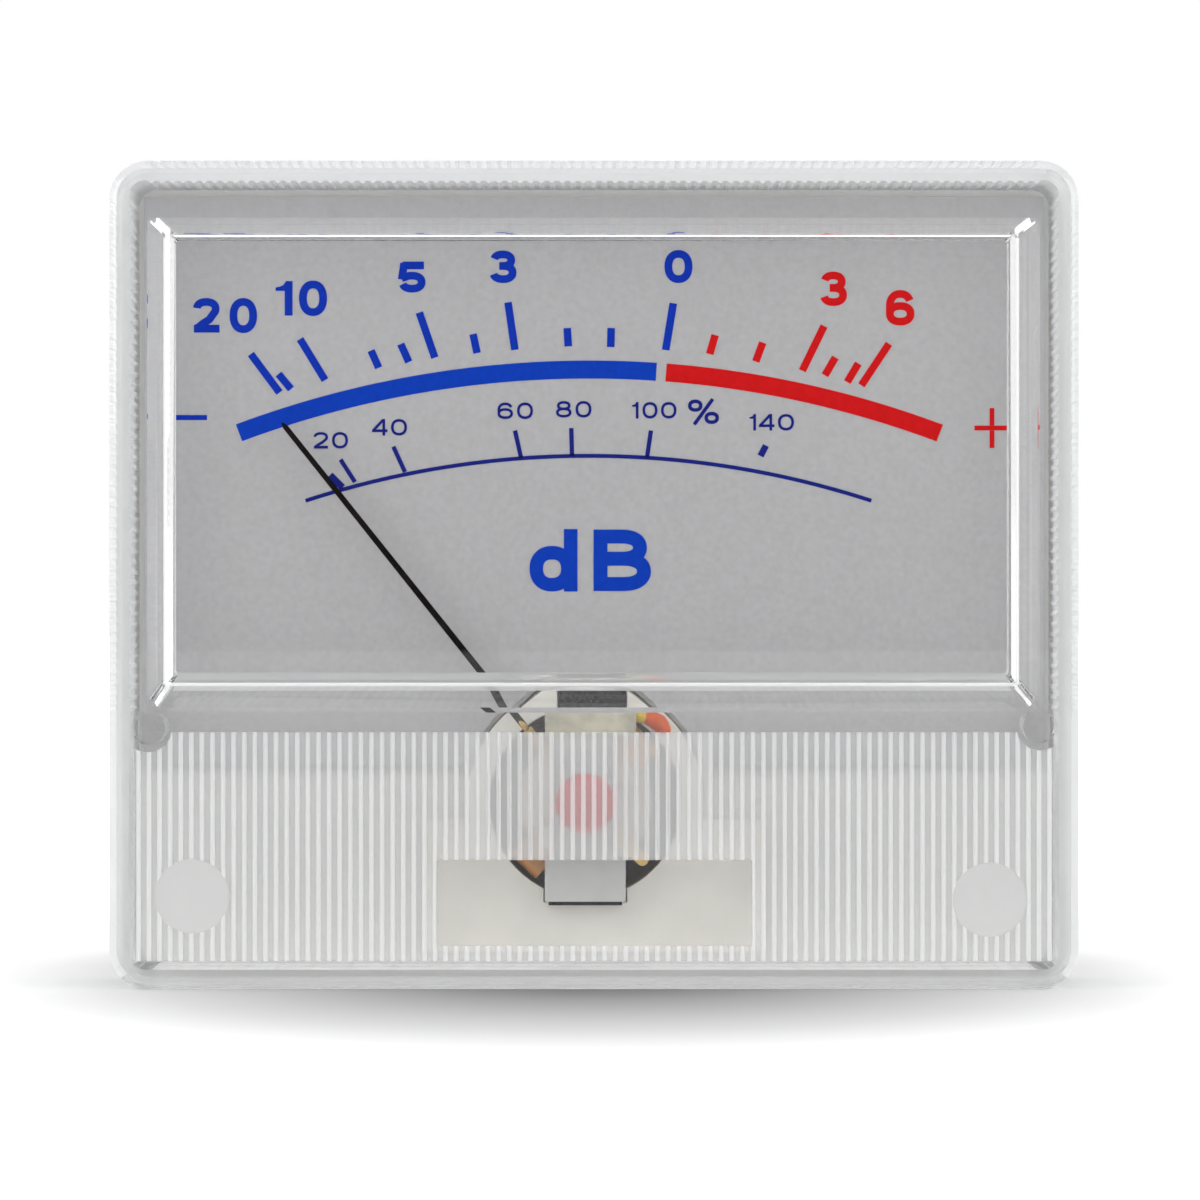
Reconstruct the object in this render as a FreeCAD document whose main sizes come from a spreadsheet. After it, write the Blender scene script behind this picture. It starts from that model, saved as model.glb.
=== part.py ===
import FreeCAD, Part
import math
import os
from FreeCAD import Vector, Rotation, Placement

# Moving-coil level meter, 55 x 47 mm face.
# Frame: X to the right, Z up, the face looks along -Y.  The origin is under the
# middle of the box that holds the whole meter.  "Depth" below is counted from the
# front of the raised window, so Y = front_y + depth.

doc = FreeCAD.newDocument("LevelMeter")
sheet = doc.addObject("Spreadsheet::Sheet", "Dims")
DIMS = [
    ("face_w", 55.0), ("face_h", 47.0), ("corner", 2.2), ("front_y", -13.5),
    ("wall", 1.1), ("step", 2.2), ("skirt_end", 11.6),
    ("flange_t", 2.6), ("rear_d", 20.6), ("rear_wall", 1.4),
    ("case_x", 24.5), ("case_lo", 1.5), ("case_hi", 44.0),
    ("pivot_x", -0.5), ("pivot_z", 10.5),
    ("core_rad", 3.85), ("core_len", 5.2), ("core_d", 8.0),
    ("yoke_in", 5.6), ("yoke_out", 7.2), ("yoke_d", 7.6), ("yoke_len", 5.8),
    ("ring_in", 5.5), ("ring_out", 6.8), ("ring_d", 6.3), ("ring_t", 1.2),
    ("coil_half", 5.2), ("coil_in", 4.2), ("coil_w", 2.0),
    ("coil_d", 6.3), ("coil_len", 8.6), ("wind_t", 0.75),
    ("dial_d", 6.5), ("dial_t", 0.5), ("dial_lo", 12.6), ("dial_hi", 45.2), ("dial_x", 25.8),
    ("cutout", 7.1), ("deck_d", 7.0), ("deck_t", 1.2),
    ("strap_d", 4.2), ("strap_t", 0.8), ("strap_w", 3.6), ("foot_w", 4.6),
    ("screw_rad", 0.9), ("jewel_rad", 0.45), ("staff_rad", 0.2),
    ("needle_len", 27.75), ("needle_w", 0.34), ("needle_t", 0.2), ("needle_d", 5.2),
    ("needle_start", 5.45), ("rest_angle", 38.6), ("bar_angle", 46.0),
    ("lug_w", 3.0), ("lug_t", 0.5), ("lug_tip", 27.0), ("lug_x", 16.0),
    ("eye_rad", 0.7), ("lug_low", 10.5), ("lug_high", 33.0),
    ("bulb_rad", 2.2), ("bulb_len", 8.0), ("bulb_d", 13.2), ("bulb_z", 31.0),
    ("lead_rad", 0.4),
]
for row, (alias, value) in enumerate(DIMS, start=1):
    sheet.set("A%d" % row, alias)
    sheet.set("B%d" % row, str(value))
    sheet.setAlias("B%d" % row, alias)
doc.recompute()
D = dict(DIMS)
PX, PZ, FY = D["pivot_x"], D["pivot_z"], D["front_y"]
YAX = Rotation(Vector(1, 0, 0), -90)


def e(text):
    """Write a dimension's name out in full."""
    out, word = "", ""
    for ch in str(text) + " ":
        if ch.isalnum() or ch == "_":
            word += ch
            continue
        out += ("Dims." + word) if word in D else word
        word = ""
        out += ch
    return out.strip()


def bind(obj, prop, text):
    obj.setExpression(prop, e(text))


def place(obj, x, d, z, rot=None):
    if rot is not None:
        obj.Placement = Placement(Vector(0, 0, 0), rot)
    bind(obj, ".Placement.Base.x", x)
    bind(obj, ".Placement.Base.y", "front_y + " + str(d))
    bind(obj, ".Placement.Base.z", z)
    return obj


def box(name, x, d, z, w, t, h):
    """Box from its low corner: x, depth, z and its width, thickness, height."""
    o = doc.addObject("Part::Box", name)
    bind(o, "Length", w)
    bind(o, "Width", t)
    bind(o, "Height", h)
    return place(o, x, d, z)


def cyl(name, rad, length, x="pivot_x", d="0", z="pivot_z"):
    """Cylinder along the depth."""
    o = doc.addObject("Part::Cylinder", name)
    bind(o, "Radius", rad)
    bind(o, "Height", length)
    return place(o, x, d, z, YAX)


def cone(name, rad1, rad2, length, x="pivot_x", d="0", z="pivot_z"):
    o = doc.addObject("Part::Cone", name)
    bind(o, "Radius1", rad1)
    bind(o, "Radius2", rad2)
    bind(o, "Height", length)
    return place(o, x, d, z, YAX)


def fuse(name, parts):
    o = doc.addObject("Part::MultiFuse", name)
    o.Shapes = parts
    o.Refine = True
    return o


def cut(name, base, tool):
    o = doc.addObject("Part::Cut", name)
    o.Base, o.Tool = base, tool
    o.Refine = True
    return o


def rounded(name, base, radius):
    """Round the four edges that run along the depth."""
    doc.recompute()
    ids = []
    for i, ed in enumerate(base.Shape.Edges, start=1):
        v = ed.Vertexes[-1].Point - ed.Vertexes[0].Point
        if abs(v.x) < 1e-6 and abs(v.z) < 1e-6 and abs(v.y) > 1e-6:
            ids.append((i, radius, radius))
    o = doc.addObject("Part::Fillet", name)
    o.Base = base
    o.Edges = ids
    return o


def turned(name, shape_maker, degrees):
    """A shape turned about the pivot line, clockwise seen from the front."""
    shp = shape_maker()
    shp.rotate(Vector(PX, 0, PZ), Vector(0, 1, 0), degrees)
    o = doc.addObject("Part::Feature", name)
    o.Shape = shp
    return o


NODES = []


def node(obj, label):
    obj.Label = label
    NODES.append(obj)
    return obj


def raw_box(x0, x1, d0, d1, z0, z1):
    return Part.makeBox(x1 - x0, d1 - d0, z1 - z0, Vector(x0, FY + d0, z0))


def raw_cyl(rad, d0, d1, x=None, z=None):
    return Part.makeCylinder(rad, d1 - d0, Vector(PX if x is None else x, FY + d0, PZ if z is None else z), Vector(0, 1, 0))


def body_plate(name, depth, thick, draw):
    """A flat outline given its thickness along the depth."""
    body = doc.addObject("PartDesign::Body", name)
    sk = body.newObject("Sketcher::SketchObject", name + "Sketch")
    plane = [f for f in body.Origin.OriginFeatures if f.Role == "XZ_Plane"][0]
    sk.AttachmentSupport = [(plane, "")]
    sk.MapMode = "FlatFace"
    draw(sk)
    pad = body.newObject("PartDesign::Pad", name + "Pad")
    pad.Profile = sk
    bind(pad, "Length", thick)
    pad.Reversed = True
    body.Tip = pad
    doc.recompute()
    # the pad has to run towards the back
    if body.Shape.BoundBox.YMax < 0.01:
        pad.Reversed = False
    bind(body, ".Placement.Base.x", "pivot_x")
    bind(body, ".Placement.Base.y", "front_y + " + depth)
    bind(body, ".Placement.Base.z", "pivot_z")
    return body


def circle(sk, alias):
    import Sketcher
    i = sk.addGeometry(Part.Circle(Vector(0, 0, 0), Vector(0, 0, 1), D[alias]), False)
    sk.addConstraint(Sketcher.Constraint("Coincident", i, 3, -1, 1))
    c = sk.addConstraint(Sketcher.Constraint("Radius", i, D[alias]))
    sk.setExpression("Constraints[%d]" % c, "Dims." + alias)


# ---------------------------------------------------------------- clear front cover
shell = rounded("CoverOuter", box("CoverBlock", "-face_w / 2", "step", "0", "face_w", "skirt_end - step", "face_h"), D["corner"])
window = doc.addObject("Part::Wedge", "WindowOuter")
for prop, val in (("Xmin", "-24.1"), ("Xmax", "23.8"), ("Zmin", "17.3"), ("Zmax", "42.4"),
                  ("Ymin", "0"), ("Ymax", "step + 0.2"),
                  ("X2min", "-25.3"), ("X2max", "25.2"), ("Z2min", "15.7"), ("Z2max", "43.7")):
    bind(window, prop, val)
place(window, "0", "0", "0")
cavity = rounded("CoverCavity", box("CavityBlock", "-face_w / 2 + wall", "step + wall", "wall",
                                    "face_w - 2 * wall", "skirt_end", "face_h - 2 * wall"), 1.1)
hollow = doc.addObject("Part::Wedge", "WindowInner")
for prop, val in (("Xmin", "-23.5"), ("Xmax", "23.2"), ("Zmin", "18.1"), ("Zmax", "41.6"),
                  ("Ymin", "0"), ("Ymax", "step + 0.3"),
                  ("X2min", "-24.6"), ("X2max", "24.5"), ("Z2min", "16.6"), ("Z2max", "42.9")):
    bind(hollow, prop, val)
place(hollow, "0", "wall", "0")
cover = cut("CoverShell", fuse("CoverSolid", [shell, window]), fuse("CoverRoom", [cavity, hollow]))
ribs = [box("CoverColumnL", "-26.9", "step + 0.5", "13.9", "1.6", "6.3 - step - 0.5", "1.9"),
        box("CoverColumnR", "25.3", "step + 0.5", "13.9", "1.6", "6.3 - step - 0.5", "1.9")]
node(fuse("Cover", [cover] + ribs), "front_cover")

# ---------------------------------------------------------------- white rear case
flange = rounded("FlangeOuter", box("FlangeBlock", "-face_w / 2", "skirt_end", "0", "face_w", "flange_t", "face_h"), D["corner"])
rear = rounded("RearOuter", box("RearBlock", "-case_x", "skirt_end + 0.5", "case_lo", "2 * case_x", "rear_d - skirt_end - 0.5", "case_hi - case_lo"), 1.5)
lip = rounded("LipOuter", box("LipBlock", "-26.2", "9.6", "1.3", "52.4", "3", "44.4"), 1.0)
room = rounded("CaseRoom", box("RoomBlock", "-case_x + 1.3", "9", "case_lo + 1.1", "2 * case_x - 2.6", "rear_d - rear_wall - 9", "case_hi - case_lo - 2.4"), 0.8)
shell2 = cut("CaseShell", fuse("CaseSolid", [flange, rear, lip]), room)
seat = cut("SeatRing", cyl("SeatOuter", "8.4", "4.8", d="12"), cyl("SeatBore", "7.3", "6", d="11.5"))
seat_rib = box("SeatRib", "pivot_x - 0.8", "12", "pivot_z + 7.9", "1.6", "rear_d - rear_wall - 12 + 0.2", "4")
posts = [cyl("PostL", "1.7", "rear_d - rear_wall - 17.3 + 0.3", x="pivot_x - 6.45", d="17.3"),
         cyl("PostR", "1.7", "rear_d - rear_wall - 17.3 + 0.3", x="pivot_x + 6.45", d="17.3")]
case_all = fuse("CaseWithSeat", [shell2, seat, seat_rib] + posts)
openings = [cyl("ScrewWayL", "0.6", "6", x="pivot_x - 6.45", d="16"),
            cyl("ScrewWayR", "0.6", "6", x="pivot_x + 6.45", d="16")]
LUGS = [("L", "-lug_x", "lug_low"), ("R", "lug_x", "lug_low"),
        ("LampL", "-lug_x", "lug_high"), ("LampR", "lug_x", "lug_high")]
for tag, lx, lz in LUGS:
    openings.append(box("LugSlot" + tag, lx + " - lug_w / 2 - 0.05", "18", lz + " - 0.05", "lug_w + 0.1", "4", "lug_t + 0.1"))
    openings.append(cyl("RivetWay" + tag, "0.6", "6", x=lx, d="17", z=lz + " - 2"))
node(cut("Case", case_all, fuse("CaseOpenings", openings)), "rear_case")

# ---------------------------------------------------------------- white inner deck, dial plate, diffuser
deck_o = rounded("DeckOuter", box("DeckBlock", "-26.1", "deck_d", "1.4", "52.2", "deck_t + 1.4", "44.2"), 1.0)
deck_i = box("DeckRoom", "-25.1", "deck_d + deck_t", "2.4", "50.2", "3", "42.2")
deck_way = [deck_i, cyl("DeckHole", "ring_out + 0.08", "3", d="deck_d - 0.5"), cyl("DeckRelief", "yoke_out + 0.15", "2", d="deck_d + 0.55"),
            box("DeckWindow", "-15", "deck_d - 0.5", "22", "30", "3", "17")]
node(cut("Deck", deck_o, fuse("DeckWays", deck_way)), "inner_deck")
node(box("Diffuser", "-16.5", "deck_d + deck_t", "20.5", "33", "0.5", "20"), "diffuser_sheet")
plate = box("DialBlock", "-dial_x", "dial_d", "dial_lo", "2 * dial_x", "dial_t", "dial_hi - dial_lo")
node(cut("Dial", plate, cyl("DialCutout", "cutout", "2", d="dial_d - 0.5")), "dial_plate")

# ---------------------------------------------------------------- movement: fixed parts
ring = cut("FrameRing", cyl("RingOuter", "ring_out", "ring_t", d="ring_d"), cyl("RingBore", "ring_in", "3", d="ring_d - 0.5"))
webs = []
for tag, sign in (("Top", 1), ("Bottom", -1)):
    zlow = "pivot_z + 3.4" if sign > 0 else "pivot_z - 5.4"
    webs.append(box("Web" + tag, "pivot_x - 1.4", "ring_d + ring_t - 0.4", zlow, "2.8", "6.3", "2.0"))
    glow = "pivot_z + 4.2" if sign > 0 else "pivot_z - 6.2"
    webs.append(box("Gusset" + tag, "pivot_x - 1.4", "ring_d + 0.6", glow, "2.8", "ring_t - 0.6", "2.0"))
frame_solid = fuse("FrameSolid", [ring] + webs)
frame_ways = fuse("FrameWays", [
    cyl("CoreSeat", "core_rad", "10", d="6.5"),
    box("FootNotch", "pivot_x - foot_w / 2 - 0.1", "ring_d - 0.5", "pivot_z - 5.75", "foot_w + 0.2", "1.1", "1.6"),
    box("TopSlot", "pivot_x - 1.6", "ring_d - 0.5", "pivot_z + 5.75", "4", "0.5 + 0.55", "0.75")])
node(cut("Frame", frame_solid, frame_ways), "movement_frame")


def yoke_sketch(sk):
    circle(sk, "yoke_out")
    circle(sk, "yoke_in")


node(body_plate("Yoke", "yoke_d", "yoke_len", yoke_sketch), "yoke_ring")


def core_sketch(sk):
    circle(sk, "core_rad")


node(body_plate("Core", "core_d", "core_len", core_sketch), "core_magnet")

strap = fuse("StrapSolid", [
    box("StrapArm", "pivot_x - strap_w / 2", "strap_d", "pivot_z - 5.6", "strap_w", "strap_t", "9.6"),
    box("StrapFoot", "pivot_x - foot_w / 2", "strap_d", "pivot_z - 5.6", "foot_w", "strap_t", "2.4"),
    box("StrapHead", "pivot_x - 2.3", "strap_d", "pivot_z + 3.8", "5.2", "strap_t", "1.4"),
    box("StrapLeg", "pivot_x - foot_w / 2", "strap_d", "pivot_z - 5.6", "foot_w", "ring_d + 0.6 - strap_d", "0.65")])
node(cut("FrontBridge", strap, cyl("StrapHole", "screw_rad + 0.02", "3", d="strap_d - 1")), "front_bridge")
node(cone("Lacquer", "1.35", "1.7", "0.22", d="strap_d - 0.22"), "lacquer_seal")

cup = cut("RearCup", cyl("RearCupOuter", "yoke_out", "3.85", d="yoke_d + yoke_len"), cyl("RearCupBore", "5.75", "6", d="yoke_d + yoke_len - 1"))
bar = box("RearBar", "pivot_x - 2", "16.25", "pivot_z - 6.4", "4", "1", "12.8")
rb_ways = fuse("RearBridgeWays", [cyl("RearScrewHole", "screw_rad + 0.02", "4", d="15"),
                                  cyl("TapL", "0.5", "2.2", x="pivot_x - 6.45", d="15.2"),
                                  cyl("TapR", "0.5", "2.2", x="pivot_x + 6.45", d="15.2")])
node(cut("RearBridge", fuse("RearBridgeSolid", [cup, bar]), rb_ways), "rear_bridge")

# jewel screws with a driver slot, each with a cup jewel in its inner end
fs = cut("FrontScrewCut", cyl("FrontScrewBody", "screw_rad", "1.1", d="strap_d"), fuse("FrontScrewWays", [
    cyl("FrontJewelBore", "jewel_rad", "1", d="4.8"),
    box("FrontScrewSlot", "pivot_x - 1.2", "3.7", "pivot_z - 0.12", "2.4", "0.7", "0.24")]))
node(fs, "front_jewel_screw")
node(cut("FrontJewel", cyl("FrontJewelBody", "jewel_rad", "0.5", d="4.8"), cone("FrontJewelCup", "0.06", "0.34", "0.4", d="4.95")), "front_jewel")
rs = cut("RearScrewCut", cyl("RearScrewBody", "screw_rad", "1.7", d="15.95"), fuse("RearScrewWays", [
    cyl("RearJewelBore", "jewel_rad", "1", d="15.45"),
    box("RearScrewSlot", "pivot_x - 1.2", "17.35", "pivot_z - 0.15", "2.4", "1", "0.3")]))
node(rs, "rear_jewel_screw")
node(cut("RearJewel", cyl("RearJewelBody", "jewel_rad", "0.5", d="15.95"), cone("RearJewelCup", "0.34", "0.06", "0.4", d="15.9")), "rear_jewel")


def regulator(d0, d1, angle, tail):
    def make():
        s = raw_cyl(1.6, d0, d1)
        s = s.fuse(raw_box(PX - 0.35, PX + 0.35, d0, d1, PZ + 1.0, PZ + 4.6))
        s = s.fuse(raw_cyl(0.35, d0, d1, PX, PZ + 4.6))
        if tail:
            s = s.fuse(raw_box(PX - 0.3, PX + 0.3, d0, d1, PZ - 2.6, PZ - 1.0))
        s = s.cut(raw_cyl(1.0, d0 - 1, d1 + 1))
        return s.removeSplitter()
    return make


node(turned("ZeroArm", regulator(5.05, 5.2, 135, True), 135), "zero_set_arm")
node(turned("RearArm", regulator(16.02, 16.17, 100, False), 120), "rear_spring_arm")


# ---------------------------------------------------------------- hairsprings
def spiral(d0, d1, r0, r1, turns, start, hand):
    n = int(turns * 14)
    half = 0.055
    inner, outer = [], []
    for i in range(n + 1):
        u = i / n
        r = r0 + (r1 - r0) * u
        a = math.radians(start + hand * 360 * turns * u)
        c, sn = math.cos(a), math.sin(a)
        inner.append(Vector(PX + (r - half) * c, FY + d0, PZ + (r - half) * sn))
        outer.append(Vector(PX + (r + half) * c, FY + d0, PZ + (r + half) * sn))
    ci = Part.BSplineCurve()
    ci.interpolate(inner)
    co = Part.BSplineCurve()
    co.interpolate(outer)
    wire = Part.Wire([ci.toShape(), Part.makeLine(inner[-1], outer[-1]), co.toShape(), Part.makeLine(outer[0], inner[0])])
    return Part.Face(wire).extrude(Vector(0, d1 - d0, 0))


def spring(name, label, d0, d1, start, hand):
    o = doc.addObject("Part::Feature", name)
    o.Shape = spiral(d0, d1, 0.62, 3.9, 4.5, start, hand)
    node(o, label)


spring("FrontSpring", "front_hairspring", 5.32, 5.55, 135, 1)
spring("RearSpring", "rear_hairspring", 15.58, 15.85, 60, -1)

# ---------------------------------------------------------------- movement: turning parts
def coil_block(half, width, d0, d1, grow):
    return raw_box(PX - half - grow, PX + half + grow, d0 - grow, d1 + grow, PZ - width / 2, PZ + width / 2)


CD0, CD1 = D["coil_d"], D["coil_d"] + D["coil_len"]
TURN = -D["bar_angle"]


def former():
    # thin aluminium frame, the inside of the coil
    f = raw_box(PX - D["coil_in"] - 0.22, PX + D["coil_in"] + 0.22, CD0 + D["wind_t"], CD1 - D["wind_t"], PZ - 1.0, PZ + 1.0)
    return f.cut(raw_box(PX - D["coil_in"], PX + D["coil_in"], CD0 + D["wind_t"] + 0.22, CD1 - D["wind_t"] - 0.22, PZ - 3, PZ + 3))


def winding():
    w = raw_box(PX - D["coil_half"], PX + D["coil_half"], CD0, CD1, PZ - D["coil_w"] / 2, PZ + D["coil_w"] / 2)
    w = w.cut(raw_box(PX - D["coil_in"] - 0.22, PX + D["coil_in"] + 0.22, CD0 + D["wind_t"], CD1 - D["wind_t"], PZ - 3, PZ + 3))
    edges = [ed for ed in w.Edges if abs((ed.Vertexes[-1].Point - ed.Vertexes[0].Point).z) > 1.0
             and abs(abs(ed.Vertexes[0].X - PX) - D["coil_half"]) < 1e-6]
    return w.makeFillet(0.6, edges)


node(turned("Former", former, TURN), "coil_former")
node(turned("Winding", winding, TURN), "coil_winding")


def cross(d0, d1, front):
    def make():
        s = raw_cyl(0.95, d0, d1)
        long_end = 5.35 if front else 3.0
        s = s.fuse(raw_box(PX - 0.3, PX + 0.3, d0, d1, PZ, PZ + long_end))
        s = s.fuse(raw_box(PX - 0.25, PX + 0.25, d0, d1, PZ - 3.9, PZ))
        if front:
            s = s.fuse(raw_box(PX - 3.4, PX + 3.4, d0, d1, PZ - 0.25, PZ + 0.25))
            # the end turns forward to meet the needle
            s = s.fuse(raw_box(PX - 0.3, PX + 0.3, 5.2, d1, PZ + 5.0, PZ + long_end))
        s = s.cut(raw_cyl(D["staff_rad"], d0 - 1, d1 + 1))
        return s.removeSplitter()
    return make


NEEDLE = -D["rest_angle"]
node(turned("FrontCross", cross(5.75, 5.95, True), NEEDLE), "front_cross_arm")
node(turned("RearCross", cross(15.25, 15.45, False), NEEDLE), "rear_cross_arm")


def weights():
    # slid on the three short arms: a slot fits each over its arm
    out = []
    for dx, dz, rad in ((0, -2.95, 1.1), (-2.9, -0.25, 0.6), (2.9, -0.25, 0.6)):
        w = raw_cyl(rad, 5.62, 6.24, PX + dx, PZ + dz)
        if dx:
            w = w.cut(raw_box(PX - 4, PX + 4, 5.75, 5.95, PZ - 0.25, PZ + 0.25))
        else:
            w = w.cut(raw_box(PX - 0.25, PX + 0.25, 5.75, 5.95, PZ - 4.2, PZ))
        out.append(w)
    return Part.makeCompound(out)


node(turned("Weights", weights, NEEDLE), "balance_weights")


def staff(d_tip, d_neck, d_base, hub0, hub1):
    sign = 1 if d_base > d_tip else -1
    lo, hi = min(d_neck, d_base), max(d_neck, d_base)
    s = raw_cyl(D["staff_rad"], lo, hi)
    c0 = Vector(PX, FY + d_tip, PZ)
    s = s.fuse(Part.makeCone(0.03, D["staff_rad"], abs(d_neck - d_tip), c0, Vector(0, sign, 0)))
    s = s.fuse(raw_cyl(0.5, hub0, hub1))
    return s.removeSplitter()


o = doc.addObject("Part::Feature", "FrontStaff")
o.Shape = staff(5.02, 5.24, 6.3, 5.3, 5.75)
node(o, "front_pivot")
o = doc.addObject("Part::Feature", "RearStaff")
o.Shape = staff(16.25 - 0.02, 16.0, 14.9, 15.45, 15.9)
node(o, "rear_pivot")


def needle():
    t0 = D["needle_d"]
    w = D["needle_w"] / 2
    pts = [(-w * 1.15, D["needle_start"]), (w * 1.15, D["needle_start"]), (w * 0.9, D["needle_len"] - 0.3), (0.05, D["needle_len"]), (-0.05, D["needle_len"]), (-w * 0.9, D["needle_len"] - 0.3)]
    vs = [Vector(PX + x, FY + t0, PZ + z) for x, z in pts]
    face = Part.Face(Part.makePolygon(vs + [vs[0]]))
    return face.extrude(Vector(0, D["needle_t"], 0))


node(turned("Needle", needle, NEEDLE), "pointer")

# ---------------------------------------------------------------- screws, lugs, rivets, lamp, leads
def screws():
    out = []
    for sx in (-6.45, 6.45):
        x = PX + sx
        s = raw_cyl(0.5, 15.4, D["rear_d"] + 0.1, x).fuse(raw_cyl(1.15, D["rear_d"], D["rear_d"] + 0.7, x))
        s = s.cut(raw_box(x - 2, x + 2, D["rear_d"] + 0.4, D["rear_d"] + 2, PZ - 0.15, PZ + 0.15))
        out.append(s.removeSplitter())
    return Part.makeCompound(out)


o = doc.addObject("Part::Feature", "MovementScrews")
o.Shape = screws()
node(o, "movement_screws")

for tag, lx, lz, label in (("L", "-lug_x", "lug_low", "positive_lug"), ("R", "lug_x", "lug_low", "negative_lug"),
                           ("LampL", "-lug_x", "lug_high", "lamp_lug_left"), ("LampR", "lug_x", "lug_high", "lamp_lug_right")):
    blade = box("LugBlade" + tag, lx + " - lug_w / 2", "18.6", lz, "lug_w", "lug_tip - 18.6", "lug_t")
    tab = box("LugTab" + tag, lx + " - lug_w / 2", "18.6", lz + " - 3.6", "lug_w", "0.6", "3.7")
    eye = doc.addObject("Part::Cylinder", "LugEye" + tag)
    bind(eye, "Radius", "eye_rad")
    bind(eye, "Height", "3")
    place(eye, lx, "lug_tip - 1.7", lz + " - 1")
    ways = fuse("LugWays" + tag, [eye, cyl("LugRivetHole" + tag, "0.6", "3", x=lx, d="18", z=lz + " - 2")])
    node(cut("Lug" + tag, fuse("LugSolid" + tag, [blade, tab]), ways), label)


def rivets():
    out = []
    for lx, lz in ((-16, 10.5), (16, 10.5), (-16, 33.0), (16, 33.0)):
        z = lz - 2
        s = raw_cyl(0.58, 18.3, 20.9, lx, z).fuse(raw_cyl(1.05, 18.1, 18.6, lx, z)).fuse(raw_cyl(1.05, 20.6, 21.0, lx, z))
        out.append(s.removeSplitter())
    return Part.makeCompound(out)


o = doc.addObject("Part::Feature", "Rivets")
o.Shape = rivets()
node(o, "lug_rivets")


def bulb_glass():
    ax = Vector(1, 0, 0)
    y, z = FY + D["bulb_d"], D["bulb_z"]
    r, n = D["bulb_rad"], D["bulb_len"]
    out = Part.makeCylinder(r, n, Vector(-n / 2, y, z), ax).fuse(Part.makeSphere(r, Vector(n / 2, y, z)))
    inn = Part.makeCylinder(r - 0.35, n, Vector(-n / 2, y, z), ax).fuse(Part.makeSphere(r - 0.35, Vector(n / 2, y, z)))
    return out.cut(inn).removeSplitter()


o = doc.addObject("Part::Feature", "BulbGlass")
o.Shape = bulb_glass()
node(o, "lamp_bulb")


def bulb_cap():
    ax = Vector(1, 0, 0)
    y, z = FY + D["bulb_d"], D["bulb_z"]
    r, n = D["bulb_rad"], D["bulb_len"]
    s = Part.makeCylinder(r + 0.15, 3.0, Vector(-n / 2 - 3.0, y, z), ax)
    for dz in (-0.7, 0.7):
        s = s.fuse(Part.makeCylinder(0.12, 4.2, Vector(-n / 2 - 0.5, y, z + dz), ax))
    return s.removeSplitter()


o = doc.addObject("Part::Feature", "BulbCap")
o.Shape = bulb_cap()
node(o, "lamp_cap")


def filament():
    y, z = FY + D["bulb_d"], D["bulb_z"]
    x = D["bulb_len"] / 2 - 0.5
    return Part.makeCylinder(0.1, 1.9, Vector(x + 0.32, y, z - 0.95), Vector(0, 0, 1))


o = doc.addObject("Part::Feature", "Filament")
o.Shape = filament()
node(o, "lamp_filament")


def holder():
    # clip that grips the cap and stands on the rear wall
    y, z = D["bulb_d"], D["bulb_z"]
    x0 = -D["bulb_len"] / 2 - 2.6
    s = raw_box(x0, x0 + 2.2, y - 0.6, 19.2, z - 3.3, z + 3.3)
    s = s.cut(Part.makeCylinder(D["bulb_rad"] + 0.17, 6, Vector(x0 - 1, FY + y, z), Vector(1, 0, 0)))
    s = s.cut(raw_box(x0 - 1, x0 + 4, y - 3, y, z - 2.0, z + 2.0))
    return s.removeSplitter()


o = doc.addObject("Part::Feature", "LampHolder")
o.Shape = holder()
node(o, "lamp_holder")


def tube(points, rad, bend):
    """Straight runs joined by tangent arcs."""
    pts = [Vector(p[0], FY + p[1], p[2]) for p in points]
    edges, last = [], pts[0]
    for i in range(1, len(pts) - 1):
        a, b, c = pts[i - 1], pts[i], pts[i + 1]
        u, v = (a - b).normalize(), (c - b).normalize()
        turn = math.pi - u.getAngle(v)
        back = bend * math.tan(turn / 2)
        t1, t2 = b + u * back, b + v * back
        mid = (u + v).normalize()
        centre = b + mid * (bend / math.cos(turn / 2))
        m = centre - mid * bend
        edges += [Part.LineSegment(last, t1).toShape(), Part.Arc(t1, m, t2).toShape()]
        last = t2
    edges.append(Part.LineSegment(last, pts[-1]).toShape())
    wire = Part.Wire(edges)
    prof = Part.Wire([Part.Circle(pts[0], pts[1] - pts[0], rad).toShape()])
    s = wire.makePipeShell([prof], True, False)
    return s


LEADS = {
    "positive_lead": ([(-15.0, 18.15, 13.0), (-12.0, 18.15, 16.0), (-5.5, 18.15, 14.6), (-2.6, 17.75, 14.2)], 0.4, 2.2),
    "negative_lead": ([(15.0, 18.15, 13.0), (11.0, 18.15, 16.2), (4.4, 18.15, 14.6), (1.4, 17.75, 14.2)], 0.4, 2.2),
    "lamp_wire_left": ([(-7.05, 13.9, 31.0), (-9.6, 13.9, 31.0), (-12.8, 16.4, 30.6), (-15.2, 17.6, 30.3)], 0.35, 1.6),
    "lamp_wire_right": ([(-7.05, 12.5, 31.0), (-9.4, 12.5, 31.0), (-10.2, 14.5, 35.6), (-4.0, 16.4, 36.6), (6.0, 17.0, 36.0), (12.6, 17.4, 33.2), (15.2, 17.6, 30.4)], 0.35, 1.4),
}
for label, (pts, rad, bend) in LEADS.items():
    o = doc.addObject("Part::Feature", "Tube_" + label)
    o.Shape = tube(pts, rad, bend)
    node(o, label)

doc.recompute()

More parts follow.
